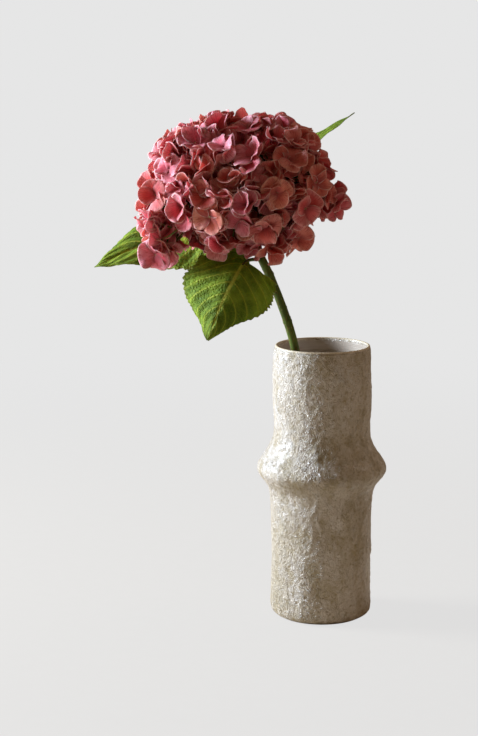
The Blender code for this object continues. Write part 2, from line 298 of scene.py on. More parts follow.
def tube(path, radii, sides, start_side=None):
    """Points and faces of a closed tube along a path, with its ends capped."""
    path = [Vector(p) for p in path]
    last = len(path) - 1
    along = [(path[min(i + 1, last)] - path[max(i - 1, 0)]).normalized() for i in range(len(path))]
    side = (start_side or along[0].orthogonal()).normalized()
    points = []
    for centre, towards, radius in zip(path, along, radii):
        side = (side - towards * side.dot(towards)).normalized()
        other = towards.cross(side)
        for k in range(sides):
            turn = 2 * math.pi * k / sides
            points.append(centre + float(radius) * (side * math.cos(turn) + other * math.sin(turn)))
    faces = grid_faces(len(path), sides, wrap=True)
    faces.append(tuple(reversed(range(sides))))
    faces.append(tuple(range(last * sides, (last + 1) * sides)))
    return points, faces


def curve_through(points, count):
    """count points on a Catmull-Rom curve through the given ones, which may be of any dimension."""
    known = np.asarray(points, float)
    ends = np.concatenate([[2 * known[0] - known[1]], known, [2 * known[-1] - known[-2]]])
    place = np.linspace(0, len(known) - 1, count)
    span = np.minimum(place.astype(int), len(known) - 2)
    t = (place - span).reshape(-1, *[1] * (known.ndim - 1))
    a, b, c, d = (ends[span + k] for k in range(4))
    return 0.5 * (2 * b + (c - a) * t + (2 * a - 5 * b + 4 * c - d) * t**2 + (3 * b - a - 3 * c + d) * t**3)


def unit(vectors):
    return vectors / np.linalg.norm(vectors, axis=-1, keepdims=True)


def ease(values, low, high):
    t = np.clip((np.asarray(values, float) - low) / (high - low), 0, 1)
    return t * t * (3 - 2 * t)


def node_mesh(name):
    """A node's points with doubles merged, and its triangles."""
    mesh = frame["nodes"][name].data
    mesh.calc_loop_triangles()
    points = np.array([v.co for v in mesh.vertices], float)
    triangles = np.array([t.vertices for t in mesh.loop_triangles], int)
    _, first, index = np.unique(np.round(points, 6), axis=0, return_index=True, return_inverse=True)
    return points[first], index.reshape(-1)[triangles]


# --- Stage --------------------------------------------------------------------------------------------


def aim(obj, target):
    obj.rotation_euler = (Vector(target) - obj.location).to_track_quat("-Z", "Y").to_euler()


def make_camera():
    data = bpy.data.cameras.new("camera")
    data.lens = CAMERA_LENS
    data.sensor_width = CAMERA_SENSOR
    camera = bpy.data.objects.new("camera", data)
    camera.location = CAMERA_PLACE
    camera.rotation_euler = (math.radians(CAMERA_PITCH), 0, 0)
    bpy.context.scene.collection.objects.link(camera)
    bpy.context.scene.camera = camera


def make_light(name, place, target, size, power, colour):
    data = bpy.data.lights.new(name, "AREA")
    data.shape = "DISK"
    data.size = size
    data.energy = power
    data.color = colour
    light = bpy.data.objects.new(name, data)
    light.location = place
    bpy.context.scene.collection.objects.link(light)
    aim(light, target)


def make_world():
    """A pale backdrop to look at, and a dimmer, warmer light from all round."""
    world = bpy.data.worlds.new("studio")
    world.use_nodes = True
    nodes, links = world.node_tree.nodes, world.node_tree.links
    nodes.clear()
    seen, around = nodes.new("ShaderNodeBackground"), nodes.new("ShaderNodeBackground")
    seen.inputs["Color"].default_value = (*BACKDROP, 1)
    around.inputs["Color"].default_value = (*AMBIENT, 1)
    path, mix = nodes.new("ShaderNodeLightPath"), nodes.new("ShaderNodeMixShader")
    out = nodes.new("ShaderNodeOutputWorld")
    links.new(path.outputs["Is Camera Ray"], mix.inputs[0])
    links.new(around.outputs[0], mix.inputs[1])
    links.new(seen.outputs[0], mix.inputs[2])
    links.new(mix.outputs[0], out.inputs["Surface"])
    bpy.context.scene.world = world


def make_floor():
    """A pale floor that takes a faint shadow near the vase and fades into the backdrop."""
    rings, sides = 48, 96
    radii = FLOOR_RADIUS * (np.arange(1, rings + 1) / rings) ** 1.6
    turns = np.linspace(0, 2 * math.pi, sides, endpoint=False)
    points = [(0, 0, 0)] + [(r * math.cos(a), r * math.sin(a), 0) for r in radii for a in turns]
    faces = [(0, 1 + k, 1 + (k + 1) % sides) for k in range(sides)]
    faces += [tuple(i + 1 for i in face) for face in grid_faces(rings, sides, wrap=True)]
    mesh = bpy.data.meshes.new("floor")
    mesh.from_pydata(points, [], faces)
    graph = Graph("floor_paper", Roughness=0.9)
    place = graph.objects()
    grain = graph.noise(place, 60.0, 4.0)
    shade = graph.mix(graph.band(grain, 0.3, 0.7), (0.58, 0.48, 0.36), (0.62, 0.52, 0.40))
    graph.finish(Base_Color=shade)
    distance = graph.node("VectorMath", {0: place}, operation="LENGTH").outputs["Value"]
    sight = graph.node("LightPath").outputs["Is Camera Ray"]
    far = graph.band(distance, 0.15, 1.6, 0.91, 1.0)
    graph.blend(graph.math("MULTIPLY", far, sight), graph.node("Emission", {"Color": BACKDROP}))
    mesh.materials.append(graph.material)
    floor = bpy.data.objects.new("floor", mesh)
    floor.location.z = -0.0002
    bpy.context.scene.collection.objects.link(floor)


# --- Vase ---------------------------------------------------------------------------------------------


def glaze_material():
    graph = Graph("stoneware_glaze", Coat_Roughness=0.2, Coat_Weight=0.2, Specular_IOR_Level=0.65)
    place = graph.objects()
    tall = graph.scaled(place, (1.0, 1.0, 0.55))
    relief = graph.attribute("relief")
    clouds = graph.noise(tall, 16.0, 3.0, 0.6, 0.4)
    patches = graph.noise(tall, 75.0, 5.0, 0.65, 0.8)
    flecks = graph.noise(place, 270.0, 4.0, 0.65, 0.3)
    grit = graph.noise(place, 900.0, 2.0)
    worms = graph.noise(graph.scaled(place, (1.0, 1.0, 0.7)), 185.0, 2.0, 0.5, 1.4)
    ropes = graph.band(graph.math("ABSOLUTE", graph.math("SUBTRACT", worms, 0.5)), 0.10, 0.0)
    pools = graph.band(graph.noise(tall, 26.0, 2.0, 0.5, 0.6), 0.46, 0.60)
    colour = graph.mix(graph.band(clouds, 0.35, 0.65), (0.51, 0.43, 0.315), (0.55, 0.475, 0.385))
    colour = graph.mix(graph.band(patches, 0.50, 0.66, 0.0, 0.8), colour, (0.63, 0.57, 0.50))
    colour = graph.mix(graph.band(patches, 0.47, 0.32, 0.0, 0.9), colour, (0.38, 0.31, 0.19))
    colour = graph.mix(graph.math("MULTIPLY", pools, 0.30), colour, (0.62, 0.58, 0.55))
    # Brown in the low places of the relief: partly brown glaze in the pits, partly painted shade in the
    # recesses.
    colour = graph.mix(graph.band(relief, 0.48, 0.15, 0.0, 0.75), colour, (0.36, 0.28, 0.15))
    # Paler on the high places of the relief: a painted highlight on the ridges.
    colour = graph.mix(graph.band(relief, 0.62, 0.95, 0.0, 0.5), colour, (0.66, 0.64, 0.62))
    colour = graph.mix(graph.band(flecks, 0.52, 0.64, 0.0, 0.75), colour, (0.30, 0.23, 0.12))
    colour = graph.mix(graph.band(flecks, 0.44, 0.34, 0.0, 0.25), colour, (0.68, 0.62, 0.55))
    colour = graph.mix(graph.math("MULTIPLY", ropes, 0.22), colour, (0.60, 0.55, 0.46))
    bare = graph.math("MAXIMUM", graph.attribute("rim"), graph.band(flecks, 0.62, 0.7))
    colour = graph.mix(graph.band(graph.attribute("rim"), 0.45, 1.0), colour, (0.60, 0.50, 0.34))
    rough = graph.band(graph.math("ADD", patches, graph.math("MULTIPLY", grit, 0.3)), 0.45, 0.85, 0.50, 0.21)
    rough = graph.math("MAXIMUM", rough, graph.band(bare, 0.2, 1.0, 0.0, 0.55))
    height = graph.math("ADD", graph.math("MULTIPLY", flecks, 1.2), graph.math("MULTIPLY", grit, 0.4))
    height = graph.math("MULTIPLY_ADD", ropes, 0.35, height)
    height = graph.math("MULTIPLY", height, graph.band(pools, 0.0, 1.0, 1.0, 0.65))
    height = graph.math("MULTIPLY", height, graph.band(graph.attribute("rim"), 0.1, 0.6, 1.0, 0.25))
    return graph.finish(Base_Color=colour, Roughness=rough, Normal=graph.bump(height, 0.0019, 1.0))


def inside_material():
    graph = Graph("stoneware_inside", Coat_Weight=0.15, Coat_Roughness=0.2)
    place = graph.objects()
    level = graph.split(place)[2]
    wobble = graph.math("MULTIPLY_ADD", graph.noise(place, 9.0), 0.012, level)
    rings = graph.noise(graph.node("CombineXYZ", {2: wobble}).outputs[0], 380.0, 1.0)
    clouds = graph.noise(place, 22.0, 4.0)
    colour = graph.mix(graph.band(clouds, 0.35, 0.65), (0.47, 0.40, 0.33), (0.54, 0.47, 0.40))
    colour = graph.mix(graph.band(rings, 0.48, 0.66, 0.0, 0.6), colour, (0.31, 0.25, 0.18))
    rough = graph.band(clouds, 0.3, 0.7, 0.3, 0.5)
    return graph.finish(Base_Color=colour, Roughness=rough, Normal=graph.bump(rings, 0.0008, 0.7))


def clay_material():
    graph = Graph("bare_clay")
    place = graph.objects()
    grain = graph.noise(place, 700.0, 3.0)
    clouds = graph.noise(place, 30.0, 3.0)
    colour = graph.mix(graph.band(clouds, 0.3, 0.7), (0.36, 0.25, 0.16), (0.46, 0.35, 0.24))
    colour = graph.mix(graph.band(grain, 0.56, 0.68), colour, (0.20, 0.13, 0.08))
    rough = graph.band(grain, 0.3, 0.7, 0.75, 0.95)
    return graph.finish(Base_Color=colour, Roughness=rough, Normal=graph.bump(grain, 0.0005))


def vase_outline():
    """Radius at each height outside and inside, read from the node and smoothed."""
    points, triangles = node_mesh("vase")
    tree = BVHTree.FromPolygons(points.tolist(), triangles.tolist())
    away = Vector((math.cos(CAD_HALF_SEGMENT), math.sin(CAD_HALF_SEGMENT), 0))
    top = float(points[:, 2].max())
    heights = np.arange(0.0003, top, 0.0005)
    outside, inside = [], []
    for z in heights:
        level = Vector((0, 0, float(z)))
        hit = tree.ray_cast(level + away * 0.2, -away)[0]
        outside.append(hit.xy.length if hit else 0.0)
        hit = tree.ray_cast(level, away)[0]
        inside.append(hit.xy.length if hit else 0.0)
    widen = 1 / math.cos(CAD_HALF_SEGMENT)
    reach = np.exp(-(np.arange(-14, 15) / 6.0) ** 2)
    smoothed = []
    for radii in (outside, inside):
        padded = np.pad(np.array(radii) * widen, 14, mode="reflect", reflect_type="odd")
        smoothed.append(np.convolve(padded, reach / reach.sum(), mode="valid"))
    return heights, smoothed[0], smoothed[1], top


def glaze_relief(points, top):
    """How far each outside point stands out: a slow wave, ropy crawled glaze and small pits, 0 to 1."""
    relief = np.empty(len(points))
    shift = np.empty(len(points))
    for i, (x, y, z) in enumerate(points):
        place = Vector((x, y, z))
        slow = noise.noise(place * 21.0)
        warp = Vector([noise.noise(place * 55.0 + Vector(apart)) for apart in WARP_SHIFTS]) * 0.006
        bent = Vector((x, y, z * 0.62)) + warp
        ropes = 1 - abs(noise.noise(bent * 95.0)) * 2.6
        lumps = noise.noise(bent * 52.0 + Vector((7, 3, 1)))
        pits = noise.noise(place * 260.0)
        relief[i] = 0.5 + 0.32 * ropes * max(0.0, 0.55 + lumps) - 0.12 + 0.32 * lumps + 0.20 * pits
        shift[i] = 0.0008 * slow + 0.0019 * (relief[i] - 0.5)
    calm = ease(points[:, 2], 0.0, 0.006) * (1 - ease(points[:, 2], top - 0.006, top - 0.001))
    return np.clip(relief, 0, 1), shift * calm


def make_vase():
    heights, outside, inside, top = vase_outline()
    floor = float(heights[np.argmax(inside > 0.02)])
    turns = np.linspace(0, 2 * math.pi, VASE_SEGMENTS, endpoint=False)
    around = np.stack([np.cos(turns), np.sin(turns)], 1)

    def band(radii, levels):
        radii, levels = np.asarray(radii, float), np.asarray(levels, float)
        ring = radii[:, None, None] * around[None]
        tall = np.broadcast_to(levels[:, None, None], (*ring.shape[:2], 1))
        return np.concatenate([ring, tall], 2).reshape(-1, 3)

    foot, sole = float(outside[0]), 0.0022  # the foot's rounded edge ends at sole
    up = np.arange(0.0, top - 0.0016, VASE_STEP)
    outer_radii = np.interp(up, heights, outside)
    outer_radii[0] = foot - 0.0012
    low = up < sole
    edge = [foot - 0.001, foot + 0.001, np.interp(sole, heights, outside)]
    outer_radii[low] = np.interp(up[low], [0, sole / 2, sole], edge)
    lip_out, lip_in = float(outer_radii[-1]), float(np.interp(top - 0.002, heights, inside))
    half, middle = (lip_out - lip_in) / 2, (lip_out + lip_in) / 2
    arc = np.linspace(0.0, math.pi, 11)
    rim_radii, rim_levels = middle + half * np.cos(arc), up[-1] + 0.0004 + 0.0012 * np.sin(arc)
    down = np.concatenate([np.arange(top - 0.004, floor + 0.012, -INSIDE_STEP), [floor + 0.012]])
    inner_radii = np.interp(down, heights, inside)
    base = inner_radii[-1]
    bend = np.linspace(0.25, 1.0, 5) * math.pi / 2
    floor_radii = np.concatenate([base - 0.011 * (1 - np.cos(bend)), np.linspace(base - 0.013, 0.002, 7)])
    floor_levels = np.concatenate([floor + 0.012 - 0.0117 * np.sin(bend), np.full(7, floor + 0.0002)])
    under_radii = np.array([0.002, 0.02, 0.034, foot - 0.006, foot - 0.004])
    under_levels = np.array([0.0012, 0.0012, 0.0012, 0.0010, 0.0])

    outer = band(outer_radii, up)
    relief, shift = glaze_relief(outer, top)
    outer[:, :2] *= (1 + shift / np.linalg.norm(outer[:, :2], axis=1))[:, None]
    sections = [
        (band(under_radii, under_levels), 2, 0.5),
        (outer, 0, relief),
        (band(rim_radii, rim_levels), 0, 0.5),
        (band(inner_radii, down), 1, 0.5),
        (band(floor_radii, floor_levels), 1, 0.5),
    ]
    points = np.concatenate([section[0] for section in sections])
    rows = len(points) // VASE_SEGMENTS
    values = np.concatenate([np.broadcast_to(np.atleast_1d(v), len(p)) for p, _, v in sections])
    slots = np.concatenate([np.full(len(p) // VASE_SEGMENTS, s) for p, s, _ in sections])
    near_rim = ease(points[:, 2], top - 0.0045, top - 0.0005)
    wobble = np.array([noise.noise(Vector(p) * 90.0) for p in points])
    builder = Builder("relief", "rim")
    faces = grid_faces(rows, VASE_SEGMENTS, wrap=True)
    faces.append(tuple(reversed(range(VASE_SEGMENTS))))
    faces.append(tuple(range((rows - 1) * VASE_SEGMENTS, rows * VASE_SEGMENTS)))
    builder.add(points, faces, relief=values, rim=np.clip(near_rim + 0.35 * wobble * near_rim, 0, 1))
    builder.slots = [int(slots[i // VASE_SEGMENTS]) for i in range((rows - 1) * VASE_SEGMENTS)] + [2, 1]
    materials = [glaze_material(), inside_material(), clay_material()]
    return builder.build("glazed_vase", materials, "vase_glaze", "vase")


# --- Stem and branches --------------------------------------------------------------------------------

STEM_RINGS, STEM_SIDES = 260, 28
STEM_NODES = ((0.30, 0.10), (0.585, 0.12), (0.80, 0.16))  # the stem's swellings: share of its length, size


def stem_material(name="stem_skin", red=0.0):
    graph = Graph(name, Subsurface_Weight=0.05, Specular_IOR_Level=0.22)
    place = graph.objects()
    long = graph.scaled(place, (1.0, 1.0, 0.12))
    streaks = graph.noise(long, 620.0, 3.0)
    clouds = graph.noise(place, 45.0, 3.0)
    specks = graph.cells(graph.scaled(place, (1.0, 1.0, 0.4)), 420.0, "F1")
    colour = graph.mix(graph.band(clouds, 0.3, 0.7), (0.045, 0.080, 0.012), (0.085, 0.135, 0.018))
    colour = graph.mix(graph.band(streaks, 0.5, 0.75, 0.0, 0.6), colour, (0.15, 0.19, 0.03))
    colour = graph.mix(graph.band(specks, 0.22, 0.08, 0.0, 0.6), colour, (0.30, 0.27, 0.13))
    colour = graph.mix(graph.band(clouds, 0.55, 0.75, 0.0, red), colour, (0.30, 0.09, 0.06))
    rough = graph.band(streaks, 0.3, 0.7, 0.38, 0.6)
    height = graph.math("ADD", streaks, graph.band(specks, 0.25, 0.05, 0.0, 0.8))
    return graph.finish(Base_Color=colour, Roughness=rough, Normal=graph.bump(height, 0.0004, 0.7))


def stem_rings():
    """Centre and radius of each ring of the stem's node, from the foot up."""
    points, _ = node_mesh("stem")
    points = points[np.argsort(points[:, 2])]
    cuts = np.nonzero(np.diff(points[:, 2]) > 0.0025)[0] + 1
    groups = np.split(points, cuts)
    centres = np.array([group.mean(0) for group in groups])
    radii = np.array([np.linalg.norm(g - c, axis=1).mean() for g, c in zip(groups, centres)])
    return centres, radii


def make_stem(skin):
    centres, radii = stem_rings()
    path, widths = curve_through(centres, STEM_RINGS), curve_through(radii, STEM_RINGS)
    points, faces = tube(path, widths, STEM_SIDES)
    share = np.repeat(np.linspace(0, 1, STEM_RINGS), STEM_SIDES)
    middle = np.repeat(path, STEM_SIDES, axis=0)
    swell = np.ones(len(points))
    for node, size in STEM_NODES:
        swell += size * np.exp(-(((share - node) / 0.008) ** 2))
    rough = np.array([noise.noise(Vector((p[0] * 160, p[1] * 160, p[2] * 28))) for p in points])
    bumps = np.array([max(0.0, noise.noise(Vector(p) * 330.0) - 0.32) for p in points])
    out = np.array([list(p) for p in points]) - middle
    points = middle + out * (swell + 0.055 * rough + 0.30 * bumps)[:, None]
    builder = Builder()
    builder.add(points, faces)
    return builder.build("green_stem", [skin], "stem_green", "stem")


def make_branch(name, skin):
    """A node's own shape, welded and smoothed."""
    points, triangles = node_mesh(name)
    mesh = bpy.data.meshes.new(name + "_smooth")
    mesh.from_pydata(points.tolist(), [], triangles.tolist())
    mesh.materials.append(skin)
    mesh.shade_smooth()
    obj = bpy.data.objects.new(name + "_smooth", mesh)
    bpy.context.scene.collection.objects.link(obj)
    smooth = obj.modifiers.new("smooth", "SUBSURF")
    smooth.levels = smooth.render_levels = 2
    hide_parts(name)
    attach(obj, "root")


# --- Leaves -------------------------------------------------------------------------------------------

LEAF_LOOKS = {  # which way the upper face looks, fold of the left and right half, arch, waviness and seed
    "leaf_left": {"face": 1, "fold": (0.20, 0.20), "arch": 0.24, "wave": 0.0022, "seed": 3},
    "leaf_front": {"face": -1, "fold": (-0.86, -0.10), "arch": 0.04, "wave": 0.0024, "seed": 11},
    "leaf_right": {"face": 1, "fold": (0.30, 0.30), "arch": 0.20, "wave": 0.0016, "seed": 5},
}
LEAF_ROWS, LEAF_COLUMNS = 210, 45
LEAF_VEINS = 7.5
VEIN_LEAN, VEIN_BEND = 0.30, 1.25  # how far the side veins run on towards the tip, and how they bend
TEETH = 20
LEAF_THROUGH = 0.24  # share of the light that a leaf lets through
LEAF_GLOW = (0.60, 0.92, 0.12)
BLADE_BASE = 0.021  # least half-width added to a leaf near its stalk
PETIOLE_RINGS = 40


def leaf_rings(name):
    """The rings of a leaf's node from the petiole to the tip: centre, half-width and the way across.

    The node's blade swells to the side that across and the leaf's course make together, which sets the sign.
    """
    points, triangles = node_mesh(name)
    stem, _ = stem_rings()
    stem = curve_through(stem, 300)
    nearest = np.argmin([np.linalg.norm(stem - p, axis=1).min() for p in points])
    centre = points[nearest]
    for _ in range(6):
        ring = np.argsort(np.linalg.norm(points - centre, axis=1))[:10]
        centre = points[ring].mean(0)
    linked = [set() for _ in points]
    for a, b, c in triangles:
        linked[a] |= {b, c}
        linked[b] |= {a, c}
        linked[c] |= {a, b}
    seen, layer, rings = set(ring.tolist()), set(ring.tolist()), [ring]
    while len(seen) < len(points):
        layer = set().union(*(linked[i] for i in layer)) - seen
        seen |= layer
        rings.append(np.array(sorted(layer)))
    centres, halves, acrosses, swells = [], [], [], []
    for ring in rings:
        group = points[ring]
        apart = np.linalg.norm(group[:, None] - group[None], axis=2)
        a, b = np.unravel_index(np.argmax(apart), apart.shape)
        across = (group[b] - group[a]) / apart[a, b]
        along = group @ across
        middle = (along.max() + along.min()) / 2
        rib = group[np.argsort(abs(along - middle))[:2]].mean(0)
        if len(acrosses) and across @ acrosses[-1] < 0:
            across = -across
        centres.append(rib if apart[a, b] > 0.006 else group.mean(0))
        halves.append(apart[a, b] / 2)
        acrosses.append(across)
        swells.append(group.mean(0) - centres[-1])
    centres, acrosses = np.array(centres), np.array(acrosses)
    up = np.cross(acrosses, np.gradient(centres, axis=0))
    if (up * np.array(swells)).sum() < 0:
        acrosses = -acrosses
    return centres, np.array(halves), acrosses


def leaf_veins(graph):
    """How far a place is from the midrib, towards a side vein (0.5 on it) and from the net of fine veins."""
    along, across, _ = graph.split(graph.uv())
    side = graph.math("ABSOLUTE", graph.math("MULTIPLY_ADD", across, 2.0, -1.0))
    lean = graph.math("MULTIPLY", graph.math("POWER", side, VEIN_BEND), VEIN_LEAN)
    course = graph.math("MULTIPLY", graph.math("SUBTRACT", along, lean), LEAF_VEINS)
    gap = graph.math("ABSOLUTE", graph.math("SUBTRACT", graph.math("FRACT", course), 0.5))
    return side, gap, graph.cells(graph.scaled(graph.uv(), (36.0, 26.0, 1.0)), 1.0)


def leaf_material():
    """Upper face: dark quilted green, pale midrib and side veins, a net of fine veins between them."""
    graph = Graph("leaf_upper", Specular_IOR_Level=0.08)
    side, gap, net = leaf_veins(graph)
    vein = graph.band(gap, 0.468, 0.495)
    vein = graph.math("MULTIPLY", vein, graph.band(side, 1.0, 0.75, 0.25, 1.0))
    midrib = graph.band(side, 0.055, 0.02)
    fine = graph.math("MULTIPLY", graph.band(net, 0.08, 0.0), 0.40)
    clouds = graph.noise(graph.objects(), 55.0, 4.0)
    grain = graph.noise(graph.objects(), 700.0, 2.0)
    colour = graph.mix(graph.band(clouds, 0.3, 0.7), (0.110, 0.185, 0.022), (0.300, 0.430, 0.045))
    colour = graph.mix(graph.band(gap, 0.35, 0.48, 0.0, 0.40), colour, (0.36, 0.44, 0.03))
    colour = graph.mix(fine, colour, (0.38, 0.46, 0.04))
    colour = graph.mix(graph.math("MAXIMUM", vein, midrib), colour, (0.58, 0.62, 0.10))
    colour = graph.mix(graph.band(side, 0.93, 1.0, 0.0, 0.5), colour, (0.28, 0.25, 0.06))
    rough = graph.band(grain, 0.3, 0.7, 0.52, 0.70)
    graph.let_through(graph.mix(0.45, colour, LEAF_GLOW), LEAF_THROUGH)
    pillows = graph.band(net, 0.0, 0.30)
    height = graph.math("ADD", graph.math("MULTIPLY", grain, 0.15), graph.math("MULTIPLY", pillows, 0.8))
    return graph.finish(Base_Color=colour, Roughness=rough, Normal=graph.bump(height, 0.0012, 0.6))


def underleaf_material():
    graph = Graph("leaf_under", Subsurface_Weight=0.04)
    side, gap, net = leaf_veins(graph)
    vein = graph.math("MAXIMUM", graph.band(gap, 0.44, 0.49), graph.band(side, 0.07, 0.03))
    net = graph.band(net, 0.12, 0.0)
    clouds = graph.noise(graph.objects(), 60.0, 3.0)
    colour = graph.mix(graph.band(clouds, 0.3, 0.7), (0.150, 0.205, 0.070), (0.205, 0.260, 0.095))
    colour = graph.mix(graph.math("MULTIPLY", net, 0.5), colour, (0.30, 0.34, 0.15))
    colour = graph.mix(vein, colour, (0.40, 0.43, 0.20))
    rough = graph.band(clouds, 0.3, 0.7, 0.6, 0.8)
    graph.let_through(graph.mix(0.45, colour, LEAF_GLOW), LEAF_THROUGH)
    height = graph.math("ADD", vein, graph.math("MULTIPLY", net, 0.5))
    return graph.finish(Base_Color=colour, Roughness=rough, Normal=graph.bump(height, 0.0006, 0.8))


def make_leaf(name, materials, petiole_skin):
    look = LEAF_LOOKS[name]
    centres, halves, acrosses = leaf_rings(name)
    blade_from = int(np.argmax(halves > 0.0055)) - 1
    centres_fine = curve_through(centres[blade_from:], LEAF_ROWS)
    across = unit(curve_through(acrosses[blade_from:], LEAF_ROWS))
    share = np.linspace(0, 1, LEAF_ROWS)
    half = np.maximum(curve_through(halves[blade_from:], LEAF_ROWS), 0.0006)
    far = ease(share, 0.4, 0.6)
    half = np.maximum(half, 0.003 + BLADE_BASE * ease(share, 0.0, 0.06) * (1 - far) - 0.003 * far)
    half[:3] = np.minimum(half[:3], 0.003)
    along = unit(np.gradient(centres_fine, axis=0))
    across = unit(across - along * (across * along).sum(1, keepdims=True))
    up = np.cross(across, along) * look["face"]

    s = np.sin(np.linspace(-1, 1, LEAF_COLUMNS) * math.pi / 2)[None, :] * np.ones((LEAF_ROWS, 1))
    t = share[:, None] * np.ones((1, LEAF_COLUMNS))
    rng = random.Random(look["seed"])
    tooth = np.mod(t * TEETH + 0.5 * np.sin(t * 12 + s * 2), 1.0)
    serrate = np.where(tooth < 0.82, tooth / 0.82, (1 - tooth) / 0.18) - 0.5
    middle_band = ease(t, 0.03, 0.12) * (1 - ease(t, 0.93, 1.0))
    reach = 1 + (0.05 + 0.02 * np.sin(t * 31 + s)) * serrate * ease(abs(s), 0.86, 1.0) * middle_band
    side = abs(s)
    course = (t - VEIN_LEAN * side**VEIN_BEND) * LEAF_VEINS
    quilt = np.abs(np.sin(math.pi * course + math.pi / 2)) ** 0.8
    quilt *= ease(side, 0.0, 0.14) * (1 - ease(side, 0.72, 1.0)) * middle_band
    crease = np.exp(-((s / 0.045) ** 2))
    phases = [rng.uniform(0, 6.28) for _ in range(4)]
    sway = np.sin(t * 9 + phases[0] + s * 1.3) * 0.6 + np.sin(t * 17 + phases[1] - s * 2.1) * 0.4
    wide = (half * (1 + 0.60 * np.exp(-(((share - 0.08) / 0.10) ** 2))))[:, None]
    lift = wide * (np.where(s < 0, *look["fold"]) * side * (0.35 + 1.0 * t) - look["arch"] * s**2)
    lift += look["wave"] * sway * side**1.5 * (wide / 0.04)
    lift += (0.0019 * quilt - 0.0009 * crease * middle_band) * np.minimum(1, wide / 0.02)
    place = centres_fine[:, None] + across[:, None] * (s * wide * reach)[..., None]
    place = place + up[:, None] * lift[..., None]
    normal = unit(np.cross(np.gradient(place, axis=1), np.gradient(place, axis=0)))
    normal *= np.sign((normal * up[:, None]).sum(2, keepdims=True))
    thick = 0.00022 + 0.0007 * np.exp(-((s / 0.05) ** 2)) * (1 - 0.8 * t)
    top, bottom = place + normal * 0.00018, place - normal * thick[..., None]
    uv = np.stack([t, (s + 1) / 2], 2).reshape(-1, 2)
    faces = leaf_faces(LEAF_ROWS, LEAF_COLUMNS)
    if look["face"] < 0:
        faces = [tuple(reversed(face)) for face in faces]
    builder = Builder()
    builder.add(np.concatenate([top.reshape(-1, 3), bottom.reshape(-1, 3)]), faces, 0, np.tile(uv, (2, 1)))
    quads = (LEAF_ROWS - 1) * (LEAF_COLUMNS - 1)
    builder.slots = [0] * quads + [1] * (len(faces) - quads)

    first = unit(centres[1] - centres[0])
    path = np.concatenate([[centres[0] - first * 0.0009], centres[: blade_from + 3]])
    path[-2:] -= up[[0, 12]] * 0.0005
    fine = curve_through(path, PETIOLE_RINGS)
    grow = np.linspace(0, 1, PETIOLE_RINGS)
    radii = 0.0019 - 0.0009 * ease(grow, 0.5, 1.0) + 0.0014 * np.exp(-((grow / 0.08) ** 2))
    points, tube_faces = tube(fine, radii, 16)
    builder.add([list(p) for p in points], tube_faces, 2)
    return builder.build(name.replace("leaf", "blade"), [*materials, petiole_skin], "leaf_green", name)


# --- Florets ------------------------------------------------------------------------------------------


def petal_material():
    """Velvet rose, buff in the warmest florets: a dark throat, fine veins to the edge and a thin pale rim,
    partly a painted edge highlight; the florets set farther inside the head get painted shade.
    """
    graph = Graph("petal_velvet", Sheen_Weight=0.06, Sheen_Roughness=0.45, Subsurface_Weight=0.10)
    graph.shader.inputs["Subsurface Radius"].default_value = (1.0, 0.35, 0.25)
    graph.shader.inputs["Subsurface Scale"].default_value = 0.0018
    u, v, _ = graph.split(graph.uv())
    x = graph.math("MULTIPLY_ADD", u, 2.0, -1.0)
    y = graph.math("MULTIPLY_ADD", v, 2.0, -1.0)
    spread = graph.math("SQRT", graph.math("ADD", graph.math("POWER", x, 2.0), graph.math("POWER", y, 2.0)))
    tone, warmth, deep = (graph.attribute(name) for name in ("tone", "warmth", "deep"))
    fan = graph.math("DIVIDE", y, graph.math("ADD", x, 1.9))
    seed = graph.math("MULTIPLY", tone, 37.0)
    strands = {0: graph.math("MULTIPLY", fan, 32.0), 1: graph.math("MULTIPLY", x, 1.6), 2: seed}
    vein = graph.noise(graph.node("CombineXYZ", strands).outputs[0], 1.0, 2.0)
    clouds = graph.noise(graph.objects(), 130.0, 3.0)
    colour = graph.mix(graph.band(warmth, 0.0, 1.0), (0.82, 0.090, 0.160), (0.86, 0.135, 0.075))
    light = graph.mix(graph.band(warmth, 0.0, 1.0), (0.99, 0.56, 0.65), (0.99, 0.52, 0.41))
    colour = graph.mix(graph.band(spread, 0.30, 1.0, 0.0, 0.68), colour, light)
    colour = graph.mix(graph.band(tone, 0.35, 1.0, 0.0, 0.60), colour, light)
    colour = graph.mix(graph.band(warmth, 0.84, 1.0, 0.0, 0.55), colour, (0.97, 0.58, 0.42))
    colour = graph.mix(graph.band(clouds, 0.42, 0.62, 0.0, 0.35), colour, (0.62, 0.07, 0.09))
    colour = graph.mix(graph.band(x, 0.1, -0.85, 0.0, 0.75), colour, (0.42, 0.025, 0.045))
    colour = graph.mix(graph.band(vein, 0.50, 0.62, 0.0, 0.60), colour, (0.50, 0.045, 0.065))
    # Darker where the dark tone and shade value is high: each floret's own darker tone, and painted shade on
    # the small florets set farther inside the head.
    colour = graph.mix(graph.math("MULTIPLY", deep, 0.7), colour, (0.36, 0.020, 0.026))
    # Pale rim round each petal: partly the petal's own colour, partly a painted edge highlight.
    pale = graph.math("MULTIPLY", graph.band(spread, 0.90, 1.0), graph.band(clouds, 0.38, 0.62, 0.10, 0.95))
    colour = graph.mix(pale, colour, (0.99, 0.72, 0.68))
    graph.let_through(graph.mix(0.5, colour, (1.0, 0.45, 0.46)), PETAL_THROUGH)
    rough = graph.band(clouds, 0.3, 0.7, 0.55, 0.75)
    height = graph.math("ADD", vein, graph.math("MULTIPLY", clouds, 0.6))
    return graph.finish(Base_Color=colour, Roughness=rough, Normal=graph.bump(height, 0.0005, 0.6))


